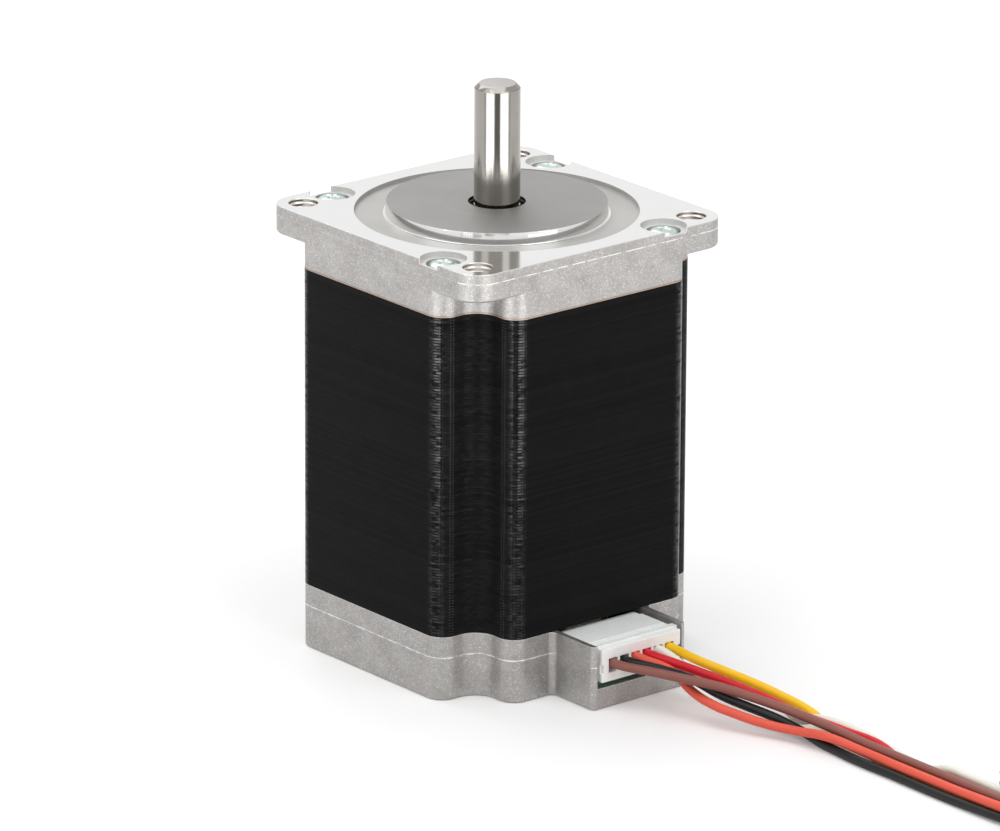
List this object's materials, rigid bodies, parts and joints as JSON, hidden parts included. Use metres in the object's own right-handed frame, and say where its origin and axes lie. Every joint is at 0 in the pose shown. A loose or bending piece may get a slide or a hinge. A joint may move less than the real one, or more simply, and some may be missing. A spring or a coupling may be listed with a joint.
{
  "type": "stepper motor",
  "caption": "Square-flanged hybrid stepper motor with a laminated stack between die-cast covers, a plain round shaft and a plug with loose leads.",
  "frame": {"origin": "centre of the rear face, on the shaft's axis", "axes": "+Z along the shaft towards its free end, +X towards the connector bay"},
  "size_m": [0.1776, 0.0718, 0.1005],
  "materials": {
    "cast_aluminium": "as die-cast, fine-grained matte, machined on the flange face and pilot",
    "zinc_steel": "bright zinc plate",
    "lamination_black": "satin black over punched laminations",
    "insulator_plastic": "moulded",
    "copper_wire": "enamelled copper wire",
    "ground_steel": "ground bright",
    "electrical_steel": "ground laminations",
    "magnet": "sintered magnet",
    "spring_steel": "rolled",
    "bearing_steel": "ground and polished",
    "cage_plastic": "moulded",
    "board_green": "solder mask",
    "header_plastic": "natural moulding, slightly translucent",
    "contact_metal": "tin-plated",
    "plug_plastic": "white moulding",
    "tie_plastic": "moulded",
    "tinned_wire": "tinned strands",
    "insulation_brown": "extruded",
    "insulation_black": "extruded",
    "insulation_orange": "extruded",
    "insulation_red": "extruded",
    "insulation_white": "extruded",
    "insulation_yellow": "extruded"
  },
  "bodies": {
    "frame": {"front_cover": "cast_aluminium", "rear_cover": "cast_aluminium", "tie_screws": "zinc_steel", "stator_stack": "lamination_black", "front_insulator": "insulator_plastic", "rear_insulator": "insulator_plastic", "phase_a_coils": "copper_wire", "phase_b_coils": "copper_wire", "wave_spring": "spring_steel", "front_outer_race": "bearing_steel", "front_shields": "bearing_steel", "rear_outer_race": "bearing_steel", "rear_shields": "bearing_steel", "circuit_board": "board_green", "header_housing": "header_plastic", "header_pins": "contact_metal"},
    "rotor": {"shaft": "ground_steel", "rotor_cup_front": "electrical_steel", "rotor_cup_rear": "electrical_steel", "rotor_magnet": "magnet", "front_shim": "spring_steel", "rear_shim": "spring_steel", "front_inner_race": "bearing_steel", "rear_inner_race": "bearing_steel"},
    "front_cage_set": {"front_balls": "bearing_steel", "front_cage": "cage_plastic"},
    "rear_cage_set": {"rear_balls": "bearing_steel", "rear_cage": "cage_plastic"},
    "plug": {"plug_housing": "plug_plastic", "plug_contacts": "contact_metal", "lead_brown": "insulation_brown", "lead_black": "insulation_black", "lead_orange": "insulation_orange", "lead_red": "insulation_red", "lead_white": "insulation_white", "lead_yellow": "insulation_yellow", "coil_brown": "insulation_brown", "coil_black": "insulation_black", "coil_orange": "insulation_orange", "coil_red": "insulation_red", "coil_white": "insulation_white", "coil_yellow": "insulation_yellow", "coil_tie": "tie_plastic", "tinned_ends": "tinned_wire"}
  },
  "joints": [
    {"name": "rotor_spin", "type": "hinge", "parent": "frame", "child": "rotor", "pos_m": [0, 0, 0.04], "axis": [0, 0, 1], "continuous": true},
    {"name": "front_cage_spin", "type": "hinge", "parent": "frame", "child": "front_cage_set", "pos_m": [0, 0, 0.0737], "axis": [0, 0, 1], "continuous": true},
    {"name": "rear_cage_spin", "type": "hinge", "parent": "frame", "child": "rear_cage_set", "pos_m": [0, 0, 0.0067], "axis": [0, 0, 1], "continuous": true},
    {"name": "plug_pull", "type": "slide", "parent": "frame", "child": "plug", "axis": [1, 0, 0], "range_m": [0, 0.009]}
  ],
  "couplings": [
    {"joint": "front_cage_spin", "follows": "rotor_spin", "ratio": 0.36767},
    {"joint": "rear_cage_spin", "follows": "rotor_spin", "ratio": 0.36767}
  ]
}
